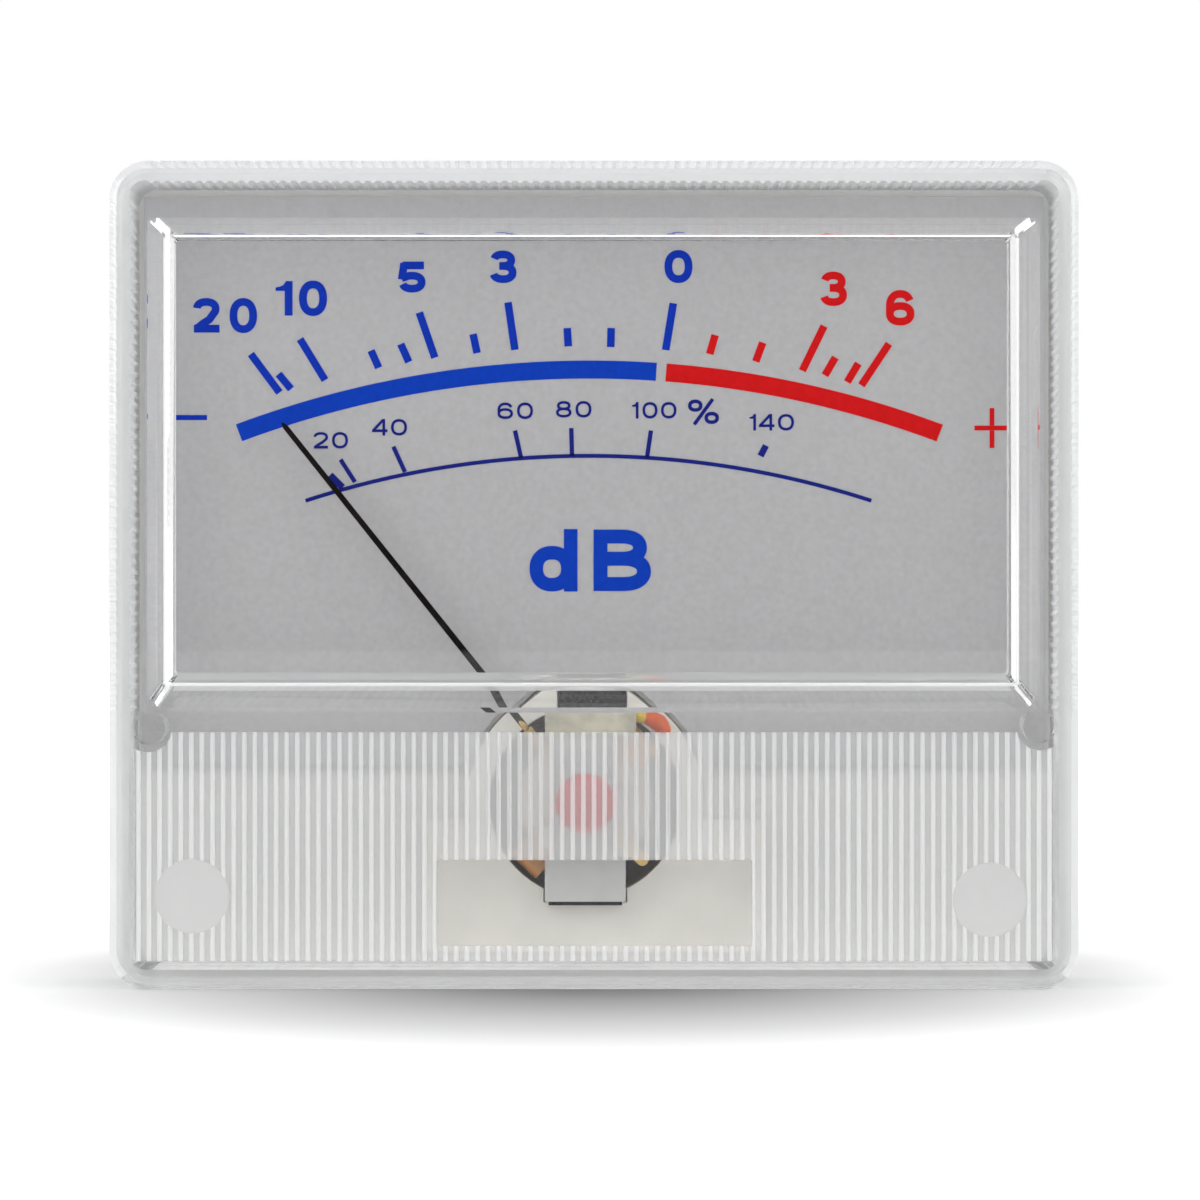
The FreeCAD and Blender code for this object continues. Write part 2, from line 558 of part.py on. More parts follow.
# ---------------------------------------------------------------- check and write
bad = [ob.Name for ob in doc.Objects if ("Invalid" in ob.State or "Error" in ob.State)]
if bad:
    raise RuntimeError("failed objects: " + ", ".join(bad))
os.makedirs("parts", exist_ok=True)
low = Vector(1e9, 1e9, 1e9)
high = Vector(-1e9, -1e9, -1e9)
for ob in NODES:
    shp = ob.Shape
    if shp.isNull() or not shp.isValid():
        raise RuntimeError("bad shape: " + ob.Label)
    if not shp.Solids or shp.Volume <= 0:
        raise RuntimeError("no solid: " + ob.Label)
    bb = shp.BoundBox
    low = Vector(min(low.x, bb.XMin), min(low.y, bb.YMin), min(low.z, bb.ZMin))
    high = Vector(max(high.x, bb.XMax), max(high.y, bb.YMax), max(high.z, bb.ZMax))
    shp.exportStep("parts/" + ob.Label + ".step")
    print("%-20s solids %d  volume %9.3f mm3" % (ob.Label, len(shp.Solids), shp.Volume))
print("nodes", len(NODES), "box", [round(v, 3) for v in (low.x, low.y, low.z, high.x, high.y, high.z)])
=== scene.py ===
import math
import bpy
import bmesh
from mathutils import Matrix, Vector


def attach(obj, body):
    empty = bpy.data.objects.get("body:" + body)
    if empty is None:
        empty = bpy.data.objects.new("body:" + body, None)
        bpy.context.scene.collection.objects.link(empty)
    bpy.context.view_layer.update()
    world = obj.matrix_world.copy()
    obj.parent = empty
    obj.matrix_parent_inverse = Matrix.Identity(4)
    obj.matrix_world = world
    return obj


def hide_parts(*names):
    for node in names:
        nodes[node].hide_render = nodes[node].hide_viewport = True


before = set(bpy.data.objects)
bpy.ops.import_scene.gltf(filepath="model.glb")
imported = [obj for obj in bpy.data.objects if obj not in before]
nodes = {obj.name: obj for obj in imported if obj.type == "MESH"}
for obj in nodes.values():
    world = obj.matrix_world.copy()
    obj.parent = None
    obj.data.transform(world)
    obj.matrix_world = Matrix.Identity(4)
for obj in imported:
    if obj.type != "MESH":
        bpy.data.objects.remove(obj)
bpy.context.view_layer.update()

scene = bpy.context.scene
FRONT = -13.5          # Y of the window's front, in mm
MM = 0.001
CAM_DIST = 300.0       # from the rim plane, mm
PPM = 17.67            # pixels of the 1200 px frame per mm at the rim plane
CX, CZ = 0.34, 22.07   # where the camera's axis meets the rim plane, mm
PX, PZ = -0.5, 10.5    # pivot


# ------------------------------------------------------------------ materials
def lin(rgb):
    out = []
    for c in rgb:
        c = c / 255.0
        out.append(c / 12.92 if c <= 0.04045 else ((c + 0.055) / 1.055) ** 2.4)
    return tuple(out) + (1.0,)


def material(name, color, rough=0.5, metal=0.0, vary=0.04, scale=900.0, bump=0.05, bump_scale=2500.0,
             rough_vary=0.08, coat=0.0, subsurface=0.0, stretch=None, spec=None):
    """Principled surface with fine noise in colour, roughness and height."""
    m = bpy.data.materials.new(name)
    m.use_nodes = True
    nt = m.node_tree
    b = nt.nodes["Principled BSDF"]
    b.inputs["Metallic"].default_value = metal
    if spec is not None:
        b.inputs["Specular IOR Level"].default_value = spec
    if coat:
        b.inputs["Coat Weight"].default_value = coat
        b.inputs["Coat Roughness"].default_value = 0.12
    if subsurface:
        b.inputs["Subsurface Weight"].default_value = subsurface
        b.inputs["Subsurface Radius"].default_value = (0.001, 0.001, 0.001)
        b.inputs["Subsurface Scale"].default_value = 0.5
    tc = nt.nodes.new("ShaderNodeTexCoord")
    mp = nt.nodes.new("ShaderNodeMapping")
    if stretch:
        mp.inputs["Scale"].default_value = stretch
    nt.links.new(tc.outputs["Object"], mp.inputs["Vector"])
    n1 = nt.nodes.new("ShaderNodeTexNoise")
    n1.inputs["Scale"].default_value = scale
    n1.inputs["Detail"].default_value = 6.0
    nt.links.new(mp.outputs["Vector"], n1.inputs["Vector"])
    ramp = nt.nodes.new("ShaderNodeValToRGB")
    lo = [max(0.0, c * (1 - vary)) for c in color[:3]]
    hi = [min(1.0, c * (1 + vary) + vary * 0.01) for c in color[:3]]
    ramp.color_ramp.elements[0].position = 0.3
    ramp.color_ramp.elements[1].position = 0.7
    ramp.color_ramp.elements[0].color = tuple(lo) + (1,)
    ramp.color_ramp.elements[1].color = tuple(hi) + (1,)
    nt.links.new(n1.outputs["Fac"], ramp.inputs["Fac"])
    nt.links.new(ramp.outputs["Color"], b.inputs["Base Color"])
    mr = nt.nodes.new("ShaderNodeMapRange")
    mr.inputs["To Min"].default_value = max(0.02, rough - rough_vary)
    mr.inputs["To Max"].default_value = min(1.0, rough + rough_vary)
    nt.links.new(n1.outputs["Fac"], mr.inputs["Value"])
    nt.links.new(mr.outputs["Result"], b.inputs["Roughness"])
    n2 = nt.nodes.new("ShaderNodeTexNoise")
    n2.inputs["Scale"].default_value = bump_scale
    n2.inputs["Detail"].default_value = 4.0
    nt.links.new(mp.outputs["Vector"], n2.inputs["Vector"])
    bp = nt.nodes.new("ShaderNodeBump")
    bp.inputs["Strength"].default_value = bump
    bp.inputs["Distance"].default_value = 0.0001
    nt.links.new(n2.outputs["Fac"], bp.inputs["Height"])
    nt.links.new(bp.outputs["Normal"], b.inputs["Normal"])
    return m


def clear_plastic(name, color, rough=0.0, ior=1.5):
    """Clear moulded plastic that lets the lamps' light through to what is behind it."""
    m = bpy.data.materials.new(name)
    m.use_nodes = True
    nt = m.node_tree
    for n in list(nt.nodes):
        nt.nodes.remove(n)
    out = nt.nodes.new("ShaderNodeOutputMaterial")
    g = nt.nodes.new("ShaderNodeBsdfPrincipled")
    g.inputs["Base Color"].default_value = color
    g.inputs["Transmission Weight"].default_value = 1.0
    g.inputs["IOR"].default_value = ior
    tc = nt.nodes.new("ShaderNodeTexCoord")
    n1 = nt.nodes.new("ShaderNodeTexNoise")
    n1.inputs["Scale"].default_value = 260.0
    n1.inputs["Detail"].default_value = 3.0
    nt.links.new(tc.outputs["Object"], n1.inputs["Vector"])
    mr = nt.nodes.new("ShaderNodeMapRange")
    mr.inputs["To Min"].default_value = rough
    mr.inputs["To Max"].default_value = rough + 0.02
    nt.links.new(n1.outputs["Fac"], mr.inputs["Value"])
    nt.links.new(mr.outputs["Result"], g.inputs["Roughness"])
    t = nt.nodes.new("ShaderNodeBsdfTransparent")
    t.inputs["Color"].default_value = (1, 1, 1, 1)
    lp = nt.nodes.new("ShaderNodeLightPath")
    mix = nt.nodes.new("ShaderNodeMixShader")
    nt.links.new(lp.outputs["Is Shadow Ray"], mix.inputs["Fac"])
    nt.links.new(g.outputs[0], mix.inputs[1])
    nt.links.new(t.outputs[0], mix.inputs[2])
    nt.links.new(mix.outputs[0], out.inputs["Surface"])
    return m


def rib_plastic(name, share, tone=0.9, rough=0.06):
    """The clear plastic where its surface is slightly frosted."""
    m = clear_plastic(name, (1, 1, 1, 1), rough, 1.5)
    nt = m.node_tree
    out = [n for n in nt.nodes if n.type == "OUTPUT_MATERIAL"][0]
    mix0 = [n for n in nt.nodes if n.type == "MIX_SHADER"][0]
    d = nt.nodes.new("ShaderNodeBsdfDiffuse")
    d.inputs["Color"].default_value = (tone * 0.985, tone * 0.995, tone, 1)
    mix = nt.nodes.new("ShaderNodeMixShader")
    mix.inputs["Fac"].default_value = share
    nt.links.new(mix0.outputs[0], mix.inputs[1])
    nt.links.new(d.outputs[0], mix.inputs[2])
    nt.links.new(mix.outputs[0], out.inputs["Surface"])
    return m


M = {
    "ribs": rib_plastic("clear_cover_rib_crests", 0.62, 0.79),
    "gaps": rib_plastic("clear_cover_rib_gaps", 0.33, 0.75, 0.06),
    "edge": rib_plastic("clear_cover_edges", 0.6, 0.95),
    "flutes": rib_plastic("clear_cover_flutes", 0.8, 0.98),
    "boss": rib_plastic("clear_cover_bosses", 0.3, 0.85, 0.1),
    "rim": rib_plastic("clear_cover_rim", 0.14, 0.95),
    "side_gaps": rib_plastic("clear_cover_rib_gaps_hazy", 0.6, 0.68, 0.07),
    "face": rib_plastic("clear_cover_face", 0.05, 0.9, 0.0),
    "cover": clear_plastic("clear_cover_plastic", (1.0, 1.0, 1.0, 1), 0.0, 1.5),
    "case": material("white_case_plastic", (0.85, 0.855, 0.85, 1), 0.42, vary=0.02, bump=0.12, subsurface=0.1),
    "deck": material("white_deck_plastic", (0.74, 0.74, 0.72, 1), 0.5, vary=0.02, bump=0.1, subsurface=0.1),
    "diffuser": material("diffuser_plastic", (0.85, 0.85, 0.83, 1), 0.6, vary=0.02),
    "dial": material("dial_matte_grey", (0.505, 0.503, 0.512, 1), 0.7, spec=0.15, vary=0.05, scale=3200.0, bump=0.25, bump_scale=4200.0),
    "cream": material("cream_moulding", (0.84, 0.82, 0.76, 1), 0.45, vary=0.04, scale=500.0, bump=0.12, subsurface=0.1),
    "strap": material("grey_white_strap", (0.55, 0.55, 0.54, 1), 0.4, vary=0.04, bump=0.1),
    "steel": material("machined_steel", (0.55, 0.55, 0.56, 1), 0.32, 1.0, vary=0.1, scale=1400.0, bump=0.1),
    "magnet": material("plated_magnet", (0.84, 0.83, 0.8, 1), 0.5, 0.0, vary=0.12, bump=0.3),
    "red": material("red_screw_lacquer", (0.72, 0.01, 0.03, 1), 0.2, vary=0.15, scale=600.0, bump=0.15, bump_scale=900.0, coat=0.6),
    "brass": material("worn_brass", (0.62, 0.43, 0.16, 1), 0.3, 1.0, vary=0.12, scale=800.0, bump=0.1),
    "tinned": material("tinned_lug_metal", (0.66, 0.65, 0.61, 1), 0.34, 1.0, vary=0.12, scale=700.0, bump=0.2),
    "jewel": material("red_bearing_jewel", (0.5, 0.02, 0.06, 1), 0.08, vary=0.05, coat=1.0),
    "bronze": material("hairspring_bronze", (0.56, 0.3, 0.12, 1), 0.28, 1.0, vary=0.08),
    "alu": material("former_aluminium", (0.7, 0.7, 0.71, 1), 0.35, 1.0, vary=0.06),
    "copper": material("enamelled_copper_winding", (0.5, 0.2, 0.03, 1), 0.35, 0.0, vary=0.3, scale=420.0, bump=0.35,
                       bump_scale=700.0, coat=0.5, stretch=(1, 9, 1)),
    "black": material("pointer_black_paint", (0.006, 0.004, 0.004, 1), 0.5, vary=0.2, bump=0.15, spec=0.06),
    "glass": clear_plastic("bulb_glass_clear", (0.98, 0.99, 1.0, 1), 0.0, 1.46),
    "orange": material("orange_lead_cover", (0.8, 0.11, 0.008, 1), 0.4, vary=0.12, bump=0.1, spec=0.2),
    "yellow": material("yellow_varnish", (0.7, 0.5, 0.04, 1), 0.35, vary=0.2, bump=0.15, spec=0.25),
    "white_wire": material("white_lead_cover", (0.8, 0.8, 0.77, 1), 0.4, vary=0.03),
    "blue": material("print_blue", lin((4, 62, 188)), 0.5, vary=0.06, scale=2600.0, bump=0.12, spec=0.08),
    "digit_blue": material("print_digit_blue", lin((8, 52, 180)), 0.5, vary=0.06, scale=2600.0, bump=0.12, spec=0.08),
    "navy": material("print_navy", lin((24, 34, 128)), 0.5, vary=0.06, scale=2600.0, bump=0.12, spec=0.08),
    "print_red": material("print_red", lin((214, 18, 22)), 0.5, vary=0.06, scale=2600.0, bump=0.12, spec=0.08),
    # near-black painted shade, used for the slot above the strap and the gap under the strap's foot
    "slot": material("painted_shade_black", (0.01, 0.01, 0.012, 1), 0.5, vary=0.3, scale=700.0, bump=0.2, spec=0.05),
    "chromate": material("yellow_chromate_steel", (0.72, 0.6, 0.38, 1), 0.45, 0.1, vary=0.35, scale=500.0, bump=0.2),
    "card": material("beige_fibre_card", (0.56, 0.53, 0.42, 1), 0.6, vary=0.22, scale=900.0, bump=0.3, spec=0.2),
}
ASSIGN = {
    "rear_case": "case", "inner_deck": "deck", "diffuser_sheet": "diffuser", "dial_plate": "dial",
    "movement_frame": "cream", "yoke_ring": "chromate", "core_magnet": "magnet", "front_bridge": "strap",
    "lacquer_seal": "red", "rear_bridge": "cream", "front_jewel_screw": "brass", "front_jewel": "jewel",
    "rear_jewel_screw": "brass", "rear_jewel": "jewel", "zero_set_arm": "brass", "rear_spring_arm": "brass",
    "front_hairspring": "bronze", "rear_hairspring": "bronze", "coil_former": "alu", "coil_winding": "copper",
    "front_cross_arm": "brass", "rear_cross_arm": "brass", "balance_weights": "tinned", "front_pivot": "steel",
    "rear_pivot": "steel", "pointer": "black", "movement_screws": "steel", "positive_lug": "tinned",
    "negative_lug": "tinned", "lamp_lug_left": "tinned", "lamp_lug_right": "tinned", "lug_rivets": "tinned",
    "lamp_bulb": "glass", "lamp_cap": "brass", "lamp_filament": "steel", "lamp_holder": "case",
    "positive_lead": "orange", "negative_lead": "yellow", "lamp_wire_left": "white_wire", "lamp_wire_right": "white_wire",
    "front_cover": "cover",
}
for name, key in ASSIGN.items():
    for slot in nodes[name].material_slots:
        slot.material = M[key]


# ------------------------------------------------------------------ mesh helpers (mm in, metres out)
def add(name, verts, faces, mat=None, scale=True):
    me = bpy.data.meshes.new(name)
    k = MM if scale else 1.0
    me.from_pydata([(x * k, (FRONT + d) * k, z * k) for x, d, z in verts], [], faces)
    me.update()
    ob = bpy.data.objects.new(name, me)
    scene.collection.objects.link(ob)
    if mat:
        me.materials.append(M[mat])
    return ob


def loft(name, rings, scale=False):
    """Closed solid through rings of equal point count, capped at both ends."""
    n = len(rings[0])
    verts = [p for r in rings for p in r]
    faces = []
    for k in range(len(rings) - 1):
        for i in range(n):
            j = (i + 1) % n
            faces.append((k * n + i, k * n + j, (k + 1) * n + j, (k + 1) * n + i))
    faces.append(tuple(range(n - 1, -1, -1)))
    faces.append(tuple((len(rings) - 1) * n + i for i in range(n)))
    ob = add(name, verts, faces, scale=scale)
    bm = bmesh.new()
    bm.from_mesh(ob.data)
    bmesh.ops.recalc_face_normals(bm, faces=bm.faces)
    bm.to_mesh(ob.data)
    bm.free()
    return ob


def rrect(x0, x1, z0, z1, r, d, n=8):
    pts = []
    for cx, cz, a0 in ((x1 - r, z1 - r, 0), (x0 + r, z1 - r, 90), (x0 + r, z0 + r, 180), (x1 - r, z0 + r, 270)):
        for i in range(n + 1):
            a = math.radians(a0 + 90.0 * i / n)
            pts.append((cx + r * math.cos(a), d, cz + r * math.sin(a)))
    return pts


def boolean(base, tool, kind, keep=False):
    mod = base.modifiers.new("b", "BOOLEAN")
    mod.operation = kind
    mod.solver = "EXACT"
    mod.object = tool
    dg = bpy.context.evaluated_depsgraph_get()
    me = bpy.data.meshes.new_from_object(base.evaluated_get(dg))
    base.modifiers.clear()
    old = base.data
    base.data = me
    bpy.data.meshes.remove(old)
    if not keep:
        bpy.data.objects.remove(tool)
    return base


# ------------------------------------------------------------------ clear cover
RX = 27.5
shell_rings = []
for i in range(7):
    a = math.radians(90.0 * i / 6)
    inset = 0.75 * (1 - math.sin(a))
    dd = 2.2 + 0.75 * (1 - math.cos(a))
    shell_rings.append(rrect(-RX + inset, RX - inset, inset, 47.0 - inset, 2.2 - inset * 0.8, dd, 8))
shell_rings.append(rrect(-RX, RX, 0.0, 47.0, 2.2, 11.44, 8))
shell_rings.append(rrect(-RX + 0.1, RX - 0.1, 0.1, 46.9, 2.1, 11.54, 8))
cover = loft("front_cover_clear", shell_rings)

win = []
for dd, x0, x1, z0, z1, r in ((2.5, -25.45, 25.4, 15.5, 43.85, 0.25), (2.2, -25.3, 25.24, 15.7, 43.7, 0.25),
                              (0.16, -24.2, 23.9, 17.22, 42.64, 0.22), (0.04, -24.11, 23.81, 17.32, 42.6, 0.2),
                              (0.0, -24.0, 23.7, 17.43, 42.57, 0.18)):
    win.append(rrect(x0, x1, z0, z1, r, dd, 3))
cover = boolean(cover, loft("w", win), "UNION")


def fluted(d):
    """Outline of the room inside the cover; the left, right and top walls carry round flutes."""
    pts = []
    x0, x1, z0, z1, r = -26.4, 26.4, 1.1, 45.9, 0.9
    pitch, amp = 0.6, 0.17

    def bumps(fixed, a, b, horizontal, sign):
        count = int(round(abs(b - a) / pitch))
        stepv = (b - a) / count
        for k in range(count):
            for j, u in enumerate((0.22, 0.3, 0.4, 0.5, 0.6, 0.7, 0.78)):
                s = a + stepv * (k + u)
                hgt = amp * math.sqrt(max(0.0, 1 - ((u - 0.5) / 0.29) ** 2))
                if horizontal:
                    pts.append((s, d, fixed + sign * hgt))
                else:
                    pts.append((fixed + sign * hgt, d, s))

    def corner(cx, cz, a0):
        for i in range(5):
            a = math.radians(a0 + 90.0 * i / 4)
            pts.append((cx + r * math.cos(a), d, cz + r * math.sin(a)))

    bumps(x1, 15.6, z1 - r - 0.1, False, -1)
    corner(x1 - r, z1 - r, 0)
    bumps(z1, x1 - r - 0.1, x0 + r + 0.1, True, -1)
    corner(x0 + r, z1 - r, 90)
    bumps(x0, z1 - r - 0.1, 15.6, False, 1)
    corner(x0 + r, z0 + r, 180)
    corner(x1 - r, z0 + r, 270)
    return pts


room = loft("room", [fluted(3.3), fluted(12.5)])
cover = boolean(cover, room, "DIFFERENCE")
hollow = loft("hollow", [rrect(-24.9, 24.8, 16.3, 43.66, 0.25, 3.6, 3), rrect(-24.75, 24.65, 16.5, 43.5, 0.25, 3.3, 3),
                         rrect(-23.97, 23.75, 17.42, 42.74, 0.22, 1.9, 3), rrect(-23.64, 23.36, 17.82, 42.39, 0.2, 1.26, 3),
                         rrect(-23.54, 23.25, 17.98, 42.3, 0.18, 1.1, 3)])
cover = boolean(cover, hollow, "DIFFERENCE")


def comb():
    """What is taken off the lower panel between its upright ribs."""
    prof = [(-26.1, 1.2), (-26.1, 2.36)]
    n = 87
    pitch = 52.2 / n
    for k in range(n):
        c = -26.1 + pitch * (k + 0.5)
        for i in range(9):
            a = math.pi * i / 8
            prof.append((c - 0.135 * math.cos(a), 2.36 - 0.155 * math.sin(a)))
    prof += [(26.1, 2.36), (26.1, 1.2)]
    return loft("comb", [[(x, d, 1.62) for x, d in prof], [(x, d, 14.58) for x, d in prof]])


def rod(name, x, z, r, d0, d1, n=40):
    ring = lambda d: [(x + r * math.cos(2 * math.pi * i / n), d, z + r * math.sin(2 * math.pi * i / n)) for i in range(n)]
    return loft(name, [ring(d0), ring(d1)])


cutter = comb()
for tool in (loft("pad", [rrect(-8.9, 8.95, 2.5, 7.35, 0.12, 0.8, 2), rrect(-8.9, 8.95, 2.5, 7.35, 0.12, 3.0, 2)]),
             rod("bossL", -22.75, 5.3, 2.1, 0.8, 3.0), rod("bossR", 22.4, 5.1, 2.1, 0.8, 3.0),
             rod("postL", -25.25, 14.8, 1.35, 0.8, 3.0), rod("postR", 25.25, 14.9, 1.35, 0.8, 3.0)):
    cutter = boolean(cutter, tool, "DIFFERENCE")
cover = boolean(cover, cutter, "DIFFERENCE")
for x, z in ((-25.3, 14.8), (25.3, 14.9)):
    cover = boolean(cover, rod("post", x, z, 0.95, 2.9, 6.3), "UNION")

bm = bmesh.new()
bm.from_mesh(cover.data)
bmesh.ops.remove_doubles(bm, verts=bm.verts, dist=0.0005)
bmesh.ops.dissolve_degenerate(bm, edges=bm.edges, dist=0.0005)
for v in bm.verts:
    v.co *= MM
for f in bm.faces:
    f.smooth = True
bm.to_mesh(cover.data)
open_edges = sum(1 for ed in bm.edges if len(ed.link_faces) != 2)
bm.free()
print("cover faces", len(cover.data.polygons), "edges that are not shared by two faces", open_edges)
cover.data.materials.clear()
cover.data.materials.append(M["cover"])
for key in ("ribs", "gaps", "edge", "flutes", "boss", "rim", "face", "side_gaps"):
    cover.data.materials.append(M[key])
for f in cover.data.polygons:
    c = f.center
    x, d, z = c.x / MM, c.y / MM - FRONT, c.z / MM
    f.use_smooth = True
    if (d < 0.165 or (1.12 < d < 1.25 and abs(x) < 23.8 and 17.7 < z < 42.5)
            or (1.3 < d < 1.88 and abs(x) < 20 and 17.4 < z < 17.85)) and abs(f.normal.y) < 0.999:
        f.material_index = 7 if z > 41.5 else 3
    elif 2.19 < d < 2.375 and abs(x) < 26.15 and 1.6 < z < 14.6:
        f.material_index = 2 if d > 2.34 else 1
        # the moulding is hazier either side of the strap
        if d > 2.34 and 1.95 < abs(x - PX) < 6.9 and z > 7.3:
            f.material_index = 8
        if d < 2.21 and f.area > 1e-6:
            # crests with a plain outline: the pad stays clear, the two bosses are a little frosted
            f.material_index = 5 if f.area < 2e-5 and abs(x) > 20 else 0
    elif 3.35 < d < 12 and (26.15 < abs(x) < 26.45 or 45.65 < z < 45.95):
        f.material_index = 4
    elif d < 11.6 and z < 46.2 and (abs(x) > 26.6 or z < 0.9):
        f.material_index = 6
    elif 2.19 < d < 2.21 and f.area > 4e-5 and z > 8:
        f.material_index = 7
print("cover materials", [sum(1 for f in cover.data.polygons if f.material_index == k) for k in range(9)])
bpy.context.view_layer.objects.active = cover
cover.select_set(True)
cover.data.set_sharp_from_angle(angle=math.radians(16))
for f in cover.data.polygons:
    if abs(f.normal.y) > 0.9995 and f.area > 4e-6:
        f.use_smooth = False
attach(cover, "case")
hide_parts("front_cover")

# ------------------------------------------------------------------ print on the dial
DIAL = 6.5


def on_dial(px, py):
    s = (CAM_DIST + DIAL - 2.2 - 0.4) / CAM_DIST / PPM
    return CX + (px - 600.0) * s, CZ + (600.0 - py) * s


def flat(name, outlines, mat, lift=0.02):
    """Thin closed prisms lying on the dial, from outlines in frame pixels."""
    verts, faces = [], []
    for pts in outlines:
        base = len(verts)
        n = len(pts)
        xy = [on_dial(*p) for p in pts]
        verts += [(x, DIAL - lift, z) for x, z in xy] + [(x, DIAL, z) for x, z in xy]
        faces.append(tuple(base + i for i in range(n)))
        faces.append(tuple(base + n + i for i in range(n - 1, -1, -1)))
        for i in range(n):
            j = (i + 1) % n
            faces.append((base + i, base + n + i, base + n + j, base + j))
    ob = add(name, verts, faces, mat)
    bm = bmesh.new()
    bm.from_mesh(ob.data)
    bmesh.ops.recalc_face_normals(bm, faces=bm.faces)
    bm.to_mesh(ob.data)
    bm.free()
    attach(ob, "case")
    return ob


def stroke(p, q, w):
    dx, dy = q[0] - p[0], q[1] - p[1]
    n = math.hypot(dx, dy)
    ox, oy = -dy / n * w / 2, dx / n * w / 2
    return [(p[0] + ox, p[1] + oy), (q[0] + ox, q[1] + oy), (q[0] - ox, q[1] - oy), (p[0] - ox, p[1] - oy)]


def arc_band(cx, cy, r0, r1, a0, a1, n=60):
    """Band about (cx, cy); angles from the upright, positive to the right."""
    out = []
    for i in range(n + 1):
        a = math.radians(a0 + (a1 - a0) * i / n)
        out.append((cx + r1 * math.sin(a), cy - r1 * math.cos(a)))
    for i in range(n, -1, -1):
        a = math.radians(a0 + (a1 - a0) * i / n)
        out.append((cx + r0 * math.sin(a), cy - r0 * math.cos(a)))
    return out


ACX, ACY = 589.0, 1369.0
flat("print_band_blue", [arc_band(ACX, ACY, 990.5, 1008.5, -20.5, 3.86)], "blue")
flat("print_band_red", [arc_band(ACX, ACY, 990.5, 1008.5, 4.42, 20.55)], "print_red")
flat("print_lower_arc", [arc_band(ACX - 0.5, ACY, 911.2, 915.2, -18.05, 18.05)], "navy")
W = 7.6
upper_blue = [((250.8, 354), (279.5, 392.5)), ((278.5, 374), (291, 389)), ((300, 339), (325, 380)),
              ((371, 350.5), (378.7, 367.7)), ((400.7, 344), (408.8, 362)), ((419.3, 312.5), (434.8, 357.6)),
              ((473, 334), (477.1, 353)), ((508, 302.3), (514.9, 349.8)), ((567.2, 328), (568.3, 346.3)),
              ((611.2, 328), (610.7, 347)), ((673.3, 303.2), (665.7, 350))]
flat("print_ticks_blue", [stroke(a, b, W) for a, b in upper_blue], "digit_blue")
upper_red = [((715.2, 335), (709.7, 354)), ((762.8, 342.5), (755.8, 361.5)), ((824.1, 326), (802.3, 370.7)),
             ((835.4, 357.4), (825, 375.3)), ((858.4, 363.4), (847.3, 382)), ((889, 343.7), (861.4, 385.3))]
flat("print_ticks_red", [stroke(a, b, W) for a, b in upper_red], "print_red")
lower = [((340.5, 459.5), (355, 482)), ((393.3, 446.5), (405, 472)), ((515, 430.5), (521, 457.5)),
         ((571.3, 428), (572, 456)), ((651, 430.5), (647, 457.5))]
flat("print_ticks_lower", [stroke(a, b, 4.4) for a, b in lower] + [stroke((330, 475), (342.5, 487.5), 7.0),
                                                                  stroke((766, 445.5), (760.5, 456), 6.5)], "navy")
flat("print_minus", [stroke((174, 417.5), (207, 417.5), 5.0)], "digit_blue")
flat("print_plus", [stroke((974.5, 428), (1009.5, 428), 4.8), stroke((992, 408), (992, 425.5), 4.8),
                    stroke((992, 430.5), (992, 448), 4.8)], "print_red")


def ell(cx, cy, rx, ry, a0, a1, n=22, p=2.25):
    """Points of a slightly squared ellipse from angle a0 to a1."""
    out = []
    for i in range(n + 1):
        a = math.radians(a0 + (a1 - a0) * i / n)
        c, sn = math.cos(a), math.sin(a)
        out.append((cx + rx * math.copysign(abs(c) ** (2 / p), c), cy + ry * math.copysign(abs(sn) ** (2 / p), sn)))
    return out


